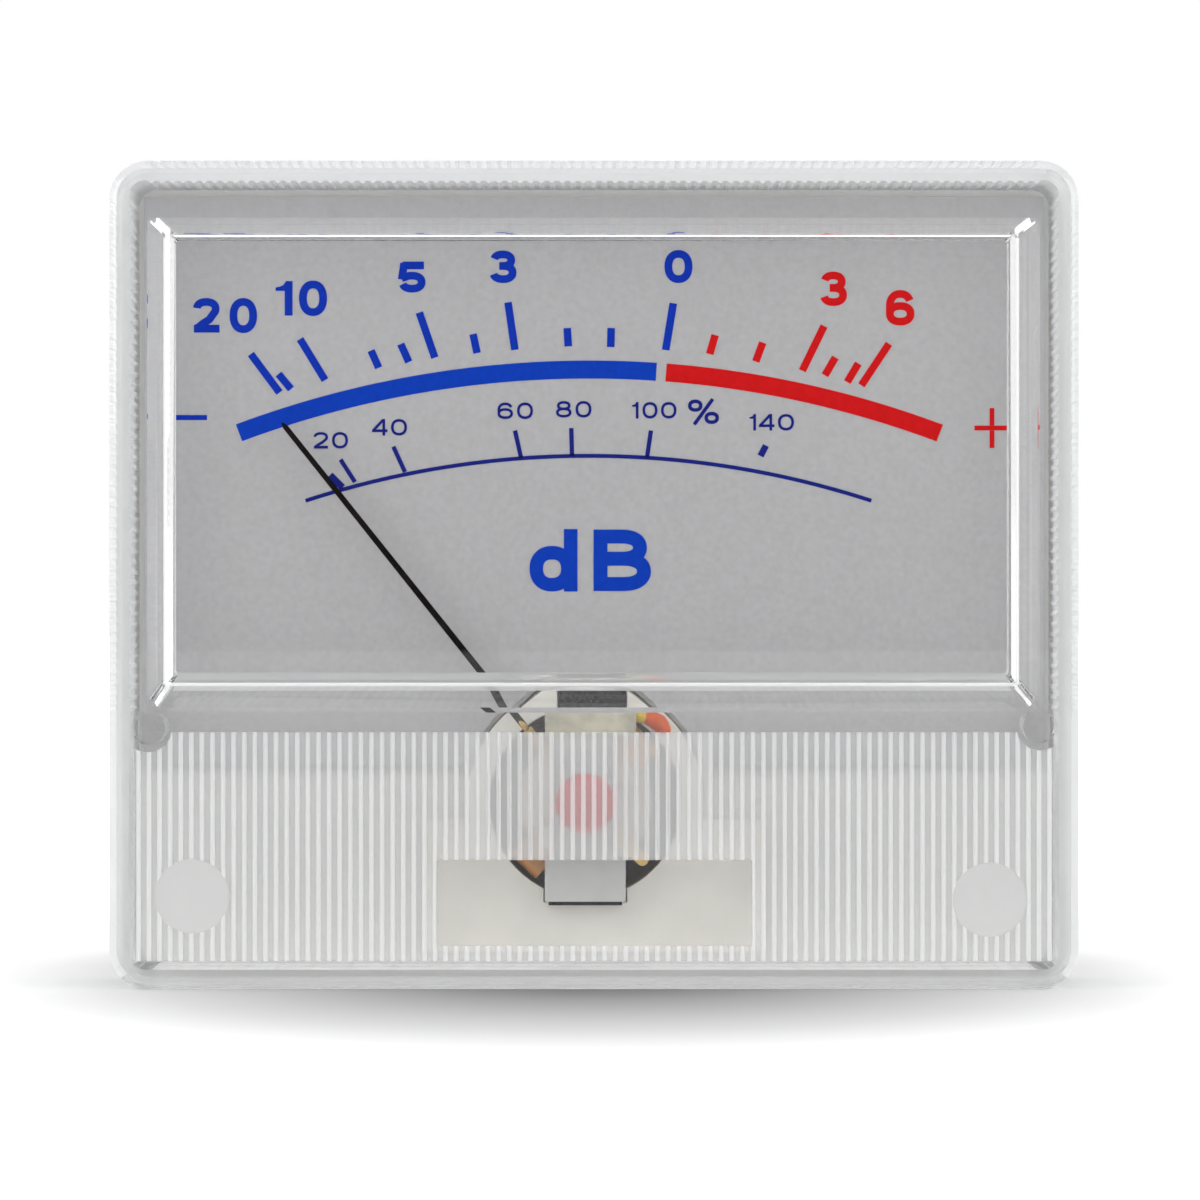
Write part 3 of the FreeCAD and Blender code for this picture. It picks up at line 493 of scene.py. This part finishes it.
def glyph(ch, w, h, t):
    """Centre lines (open, closed) and outlines of a plain sans figure w by h with strokes t wide; y goes up."""
    a = t / 2
    mid = 0.525 * h
    c1, r1 = (h - a + mid) / 2, (h - a - mid) / 2
    c2, r2 = (mid + a) / 2, (mid - a) / 2
    if ch == "0":
        return [], [ell(w / 2, h / 2, w / 2 - a, h / 2 - a, 0, 360, 44)], []
    if ch == "1":
        return [], [], [[(w - t, 0), (w, 0), (w, h), (w - 0.85 * t, h), (w - 1.15 * t, 0.89 * h),
                         (w - 1.6 * t, 0.84 * h), (0, 0.815 * h), (0, 0.715 * h), (w - t, 0.715 * h)]]
    if ch == "2":
        top = ell(w / 2, 0.69 * h, w / 2 - a, 0.31 * h - a, 176, -38, 26)
        return [top + [(0.62 * w, 0.38 * h), (0.36 * w, 0.25 * h), (0.2 * w, 0.15 * h), (a * 1.1, a * 1.0)],
                [(0.03 * w, a), (w, a)]], [], []
    if ch == "3":
        return [ell(0.49 * w, c1, 0.46 * w - a, r1, 168, -90, 24) + [(0.36 * w, mid)],
                [(0.36 * w, mid)] + ell(0.5 * w, c2, w / 2 - a, r2, 90, -168, 26)], [], []
    if ch == "4":
        return [[(0.76 * w, 0), (0.76 * w, h)], [(0, 0.29 * h), (w, 0.29 * h)], [(a * 0.9, 0.3 * h), (0.72 * w, h - a * 0.6)]], [], []
    if ch == "5":
        return [[(0.15 * w, h - a), (0.94 * w, h - a)],
                [(0.21 * w, h - a * 0.4), (0.12 * w, 0.42 * h)],
                [(0.12 * w, 0.47 * h)] + ell(w / 2, 0.335 * h, w / 2 - a, 0.335 * h - a, 128, -165, 28)], [], []
    if ch == "6":
        return [[(a, 0.34 * h), (a, 0.5 * h)] + ell(w / 2, 0.55 * h, w / 2 - a, 0.45 * h - a, 176, 24, 22)], \
            [ell(w / 2, 0.33 * h, w / 2 - a, 0.33 * h - a, 0, 360, 40)], []
    if ch == "8":
        return [], [ell(w / 2, c1, 0.44 * w - a, r1, 0, 360, 34), ell(w / 2, c2, w / 2 - a, r2, 0, 360, 38)], []
    if ch == "%":
        return [[(0.2 * w, 0.0), (0.8 * w, h)]], [ell(0.235 * w, 0.74 * h, 0.235 * w - a, 0.24 * h - a, 0, 360, 26),
                                                ell(0.765 * w, 0.26 * h, 0.235 * w - a, 0.24 * h - a, 0, 360, 26)], []
    if ch == "d":
        return [[(w - a, 0), (w - a, h)]], [ell(0.47 * w, 0.365 * h, 0.47 * w - a, 0.365 * h - a, 0, 360, 44)], []
    if ch == "B":
        up = [(a, h - a), (0.5 * w, h - a)] + ell(0.5 * w, c1, 0.43 * w - a, r1, 88, -88, 16) + [(0.5 * w, mid), (a, mid)]
        dn = [(a, mid), (0.52 * w, mid)] + ell(0.52 * w, c2, 0.48 * w - a, r2, 88, -88, 16) + [(0.52 * w, a), (a, a)]
        return [[(a, 0), (a, h)], up, dn], [], []
    raise ValueError(ch)


def ribbon(pts, t, closed):
    """Left and right edges of a line t wide, with mitred joints."""
    n = len(pts)
    left, right = [], []
    for i in range(n):
        if closed:
            p0, p1 = pts[(i - 1) % n], pts[(i + 1) % n]
            q0, q1 = pts[i], pts[i]
        else:
            p0, p1 = pts[max(i - 1, 0)], pts[min(i + 1, n - 1)]
            q0, q1 = pts[i], pts[i]
        d0 = Vector((q0[0] - p0[0], q0[1] - p0[1]))
        d1 = Vector((p1[0] - q1[0], p1[1] - q1[1]))
        if d0.length < 1e-9:
            d0 = d1.copy()
        if d1.length < 1e-9:
            d1 = d0.copy()
        d0.normalize()
        d1.normalize()
        m = (d0 + d1)
        m = d1 if m.length < 0.3 else m.normalized()
        nrm = Vector((-m.y, m.x))
        k = t / 2 / max(0.55, nrm.dot(Vector((-d1.y, d1.x))))
        left.append((pts[i][0] + nrm.x * k, pts[i][1] + nrm.y * k))
        right.append((pts[i][0] - nrm.x * k, pts[i][1] - nrm.y * k))
    return left, right


def letters(name, items, mat, lift=0.02):
    """items: (figure, left, right, top, bottom, stroke) in frame pixels."""
    verts, faces = [], []

    def prism(polys, up):
        for poly in polys:
            base = len(verts)
            n = len(poly)
            xy = [on_dial(*p) for p in poly]
            verts.extend([(x, DIAL - up, z) for x, z in xy] + [(x, DIAL, z) for x, z in xy])
            faces.append(tuple(base + i for i in range(n)))
            faces.append(tuple(base + n + i for i in range(n - 1, -1, -1)))
            for i in range(n):
                j = (i + 1) % n
                faces.append((base + i, base + n + i, base + n + j, base + j))

    def strip(left, right, closed, up):
        base = len(verts)
        n = len(left)
        lxy = [on_dial(*p) for p in left]
        rxy = [on_dial(*p) for p in right]
        for (x, z), (u, v) in zip(lxy, rxy):
            verts.extend([(x, DIAL - up, z), (u, DIAL - up, v), (u, DIAL, v), (x, DIAL, z)])
        last = n if closed else n - 1
        for i in range(last):
            p, q = base + 4 * i, base + 4 * ((i + 1) % n)
            faces.extend([(p, p + 1, q + 1, q), (p + 1, p + 2, q + 2, q + 1), (p + 2, p + 3, q + 3, q + 2), (p + 3, p, q, q + 3)])
        if not closed:
            p, q = base, base + 4 * (n - 1)
            faces.extend([(p + 3, p + 2, p + 1, p), (q, q + 1, q + 2, q + 3)])

    for ch, x0, x1, y0, y1, t in items:
        opened, closed, outlines = glyph(ch, x1 - x0, y1 - y0, t)
        place = lambda pts: [(x0 + px, y1 - py) for px, py in pts]
        up = lift
        for c in closed:
            left, right = ribbon(place(c[:-1]), t, True)
            strip(left, right, True, up)
            up += 0.0012
        for o in opened:
            left, right = ribbon(place(o), t, False)
            strip(left, right, False, up)
            up += 0.0012
        prism([place(o) for o in outlines], up)
    ob = add(name, verts, faces, mat)
    bm = bmesh.new()
    bm.from_mesh(ob.data)
    bmesh.ops.recalc_face_normals(bm, faces=bm.faces)
    bm.to_mesh(ob.data)
    bm.free()
    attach(ob, "case")
    return ob


T = 7.8
letters("figures_blue", [("2", 193, 219.5, 298, 332.5, T), ("0", 229.5, 257, 298, 333, T),
                         ("1", 275.5, 292.5, 281, 315.5, T), ("0", 299, 327, 280.5, 316, T),
                         ("5", 398.5, 425.5, 261.5, 292.5, T), ("3", 489.5, 516.5, 250.5, 283, T),
                         ("0", 664.5, 692.5, 250, 283, T)], "digit_blue")
letters("figures_red", [("3", 820, 847, 271.5, 306, T), ("6", 886, 914.5, 290, 325.5, T)], "print_red")
t = 2.7
letters("figures_navy", [("2", 313.5, 328, 432, 448.5, t), ("0", 332, 348, 432, 448.5, t),
                         ("4", 372, 387.5, 419, 435.5, t), ("0", 391, 407, 419, 435.5, t),
                         ("6", 497.5, 513, 402.5, 419, t), ("0", 517, 533, 402.5, 419, t),
                         ("8", 556, 571.5, 401, 417.5, t), ("0", 575.5, 591.5, 401, 417.5, t),
                         ("1", 632, 638.5, 402, 418.5, t), ("0", 642.5, 657.5, 402, 418.5, t), ("0", 661, 676.5, 402, 418.5, t),
                         ("1", 749.5, 756, 414, 430.5, t), ("4", 759, 774.5, 414, 430.5, t), ("0", 778, 794, 414, 430.5, t),
                         ("%", 688, 719, 399, 424.5, 3.6)], "navy")
letters("unit_letters", [("d", 529.5, 577.5, 529, 591.5, 13.6), ("B", 593.5, 651, 529.5, 591, 14.0)], "blue")

# ------------------------------------------------------------------ small parts round the pivot
def ride_mm(ob, body):
    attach(ob, body)
    return ob


def dab(name, x, z, rx, rz, turn, d0, d1, seed, mat):
    """A set drop of lacquer or cement: an uneven rounded mound between two depths."""
    rings = []
    steps, n = 7, 22
    ca, sa = math.cos(math.radians(turn)), math.sin(math.radians(turn))
    for k in range(steps):
        t = k / (steps - 1.0)
        h = math.sqrt(max(0.0, 1 - (1 - t) ** 2)) * 0.93 + 0.07
        ring = []
        for i in range(n):
            a = 2 * math.pi * i / n
            w = 1 + 0.1 * math.sin(2 * a + seed) + 0.06 * math.sin(3 * a + 2.3 * seed) + 0.03 * math.sin(5 * a + seed * 0.7)
            u, v = rx * h * w * math.cos(a), rz * h * w * math.sin(a)
            ring.append((x + u * ca - v * sa, d0 + (d1 - d0) * t, z + u * sa + v * ca))
        rings.append(ring)
    ob = loft(name, rings, scale=True)
    ob.data.materials.append(M[mat])
    for f in ob.data.polygons:
        f.use_smooth = True
    return ob


def slab(name, x0, x1, z0, z1, d0, d1, mat, r=0.06, bev=0.05):
    """Flat piece with rounded corners and a small edge break at its front."""
    ob = loft(name, [rrect(x0 + bev, x1 - bev, z0 + bev, z1 - bev, max(0.02, r - bev), d0, 3),
                     rrect(x0, x1, z0, z1, r, d0 + bev, 3), rrect(x0, x1, z0, z1, r, d1, 3)], scale=True)
    ob.data.materials.append(M[mat])
    return ob


# near-black plate in the pocket above the strap: painted shade of the slot there
ride_mm(slab("slot_shade_plate", PX - 1.55, PX + 2.35, PZ + 5.28, PZ + 6.5, 6.22, 6.85, "slot"), "case")
# lacquer drop that holds the lead's end on the ring, with the lead's bare end beside it
ride_mm(dab("lead_end_lacquer", PX + 4.1, PZ + 4.55, 0.88, 0.55, -38.0, 5.66, 6.31, 1.3, "orange"), "case")
ride_mm(dab("lead_end_varnish", PX + 3.1, PZ + 4.95, 0.72, 0.4, -16.0, 5.78, 6.31, 2.9, "yellow"), "case")
# cement that joins the needle's root to its arm
ra = math.radians(38.6)
ride_mm(dab("needle_root_cement", PX - 5.62 * math.sin(ra), PZ + 5.62 * math.cos(ra), 0.34, 0.2, 90 + 38.6, 5.48, 5.1, 0.6, "brass"),
        "needle")
# beige card on the strap's head
ride_mm(slab("strap_head_card", PX - 2.25, PX + 2.85, PZ + 3.85, PZ + 5.15, 4.1, 4.22, "card"), "case")
# cream moulding that carries the ring, level with the ring's front
a0 = math.asin(-1.0 / 6.78)
base = [(-9.7, 1.9), (9.7, 1.9), (9.7, 9.5)]
base += [(PX + 6.78 * math.cos(a0 - (math.pi + 2 * a0) * i / 40.0), PZ + 6.78 * math.sin(a0 - (math.pi + 2 * a0) * i / 40.0)) for i in range(41)]
base += [(-9.7, 9.5)]
plinth = loft("ring_plinth", [[(x, 6.34, z) for x, z in base], [(x, 6.95, z) for x, z in base]], scale=True)
plinth.data.materials.append(M["cream"])
ride_mm(plinth, "case")
# near-black strip under the strap's foot: painted shade of the gap below the foot
ride_mm(slab("foot_gap_shade_strip", PX - 2.1, PX + 2.1, PZ - 5.86, PZ - 5.56, 5.15, 6.28, "slot", r=0.04, bev=0.03), "case")


# ------------------------------------------------------------------ floor, lights, camera
fme = bpy.data.meshes.new("studio_floor")
fme.from_pydata([(-2, -2, 0), (2, -2, 0), (2, 3, 0), (-2, 3, 0)], [], [(0, 1, 2, 3)])
floor = bpy.data.objects.new("studio_floor", fme)
scene.collection.objects.link(floor)
fm = material("floor_white", (0.9, 0.9, 0.9, 1), 0.8, vary=0.005, scale=40.0, bump=0.0)
fnt = fm.node_tree
fb = fnt.nodes["Principled BSDF"]
fb.inputs["Emission Color"].default_value = (1, 1, 1, 1)
fb.inputs["Specular IOR Level"].default_value = 0.0
ftc = fnt.nodes.new("ShaderNodeTexCoord")
fmp = fnt.nodes.new("ShaderNodeMapping")
fmp.inputs["Scale"].default_value = (1.5, 1.0, 1.0)
fnt.links.new(ftc.outputs["Object"], fmp.inputs["Vector"])
fln = fnt.nodes.new("ShaderNodeVectorMath")
fln.operation = "LENGTH"
fnt.links.new(fmp.outputs["Vector"], fln.inputs[0])


def spread(lo, hi, a, b):
    r = fnt.nodes.new("ShaderNodeMapRange")
    r.inputs["From Min"].default_value = lo
    r.inputs["From Max"].default_value = hi
    r.inputs["To Min"].default_value = a
    r.inputs["To Max"].default_value = b
    fnt.links.new(fln.outputs["Value"], r.inputs["Value"])
    return r.outputs["Result"]


# painted shadow on the floor: camera rays see it darker close to the meter (other rays see an even 0.86 grey), and it
# glows softly further out
painted_floor_shadow = spread(0.012, 0.052, 0.27, 0.97)
flp = fnt.nodes.new("ShaderNodeLightPath")
fsee = fnt.nodes.new("ShaderNodeMix")
fsee.data_type = "FLOAT"
fnt.links.new(flp.outputs["Is Camera Ray"], fsee.inputs[0])
fsee.inputs[2].default_value = 0.86
fnt.links.new(painted_floor_shadow, fsee.inputs[3])
fglow = fnt.nodes.new("ShaderNodeMix")
fglow.data_type = "FLOAT"
fnt.links.new(flp.outputs["Is Camera Ray"], fglow.inputs[0])
fglow.inputs[2].default_value = 0.3
fnt.links.new(spread(0.04, 0.12, 0.0, 0.5), fglow.inputs[3])
fnt.links.new(fglow.outputs[0], fb.inputs["Emission Strength"])
comb_rgb = fnt.nodes.new("ShaderNodeCombineColor")
for k in range(3):
    fnt.links.new(fsee.outputs[0], comb_rgb.inputs[k])
fnt.links.new(comb_rgb.outputs[0], fb.inputs["Base Color"])
floor.data.materials.append(fm)
floor.visible_glossy = False

world = bpy.data.worlds.new("studio_world")
scene.world = world
world.use_nodes = True
wt = world.node_tree
bg = wt.nodes["Background"]
# a white room with a dark patch where the viewer stands; what is seen directly stays white
wc = wt.nodes.new("ShaderNodeTexCoord")
sep = wt.nodes.new("ShaderNodeSeparateXYZ")
wt.links.new(wc.outputs["Generated"], sep.inputs[0])
wm = wt.nodes.new("ShaderNodeMapRange")
wm.interpolation_type = "SMOOTHSTEP"
wm.inputs["From Min"].default_value = -0.9955
wm.inputs["From Max"].default_value = -0.985
wm.inputs["To Min"].default_value = 0.02
wm.inputs["To Max"].default_value = 0.95
wt.links.new(sep.outputs["Y"], wm.inputs["Value"])
wz = wt.nodes.new("ShaderNodeMapRange")
wz.interpolation_type = "SMOOTHSTEP"
wz.inputs["From Min"].default_value = 0.45
wz.inputs["From Max"].default_value = 1.0
wz.inputs["To Min"].default_value = 1.0
wz.inputs["To Max"].default_value = 0.66
wt.links.new(sep.outputs["Z"], wz.inputs["Value"])
wmul = wt.nodes.new("ShaderNodeMath")
wmul.operation = "MULTIPLY"
wt.links.new(wm.outputs["Result"], wmul.inputs[0])
wt.links.new(wz.outputs["Result"], wmul.inputs[1])
lpw = wt.nodes.new("ShaderNodeLightPath")
wmix = wt.nodes.new("ShaderNodeMix")
wmix.data_type = "FLOAT"
wt.links.new(lpw.outputs["Is Camera Ray"], wmix.inputs[0])
wt.links.new(wmul.outputs[0], wmix.inputs[2])
wmix.inputs[3].default_value = 1.0
wt.links.new(wmix.outputs[0], bg.inputs["Strength"])
bg.inputs["Color"].default_value = (1.0, 1.0, 1.0, 1)


def area(name, loc, target, size, power, color=(1, 1, 1)):
    li = bpy.data.lights.new(name, "AREA")
    li.shape = "RECTANGLE"
    li.size, li.size_y = size
    li.energy = power
    li.color = color
    ob = bpy.data.objects.new(name, li)
    scene.collection.objects.link(ob)
    ob.location = loc
    ob.rotation_euler = (Vector(target) - Vector(loc)).to_track_quat("-Z", "Y").to_euler()
    return ob


area("key_top", (0.05, -0.22, 0.6), (0, 0, 0.02), (0.5, 0.4), 0.5)
area("fill_left", (-0.6, -0.25, 0.25), (0, 0, 0.02), (0.4, 0.4), 1.05)
area("fill_right", (0.6, -0.25, 0.25), (0, 0, 0.02), (0.4, 0.4), 1.05)

cam = bpy.data.cameras.new("photo_camera")
cam.sensor_fit = "HORIZONTAL"
cam.sensor_width = 36.0
cam.lens = 36.0 * CAM_DIST / (1200.0 / PPM)
cam.clip_start = 0.01
cam.clip_end = 20.0
cam_ob = bpy.data.objects.new("photo_camera", cam)
scene.collection.objects.link(cam_ob)
cam_ob.location = (CX * MM, (FRONT + 2.2 - CAM_DIST) * MM, CZ * MM)
cam_ob.rotation_euler = (math.radians(90), 0, 0)
scene.camera = cam_ob
scene.view_settings.view_transform = "Standard"

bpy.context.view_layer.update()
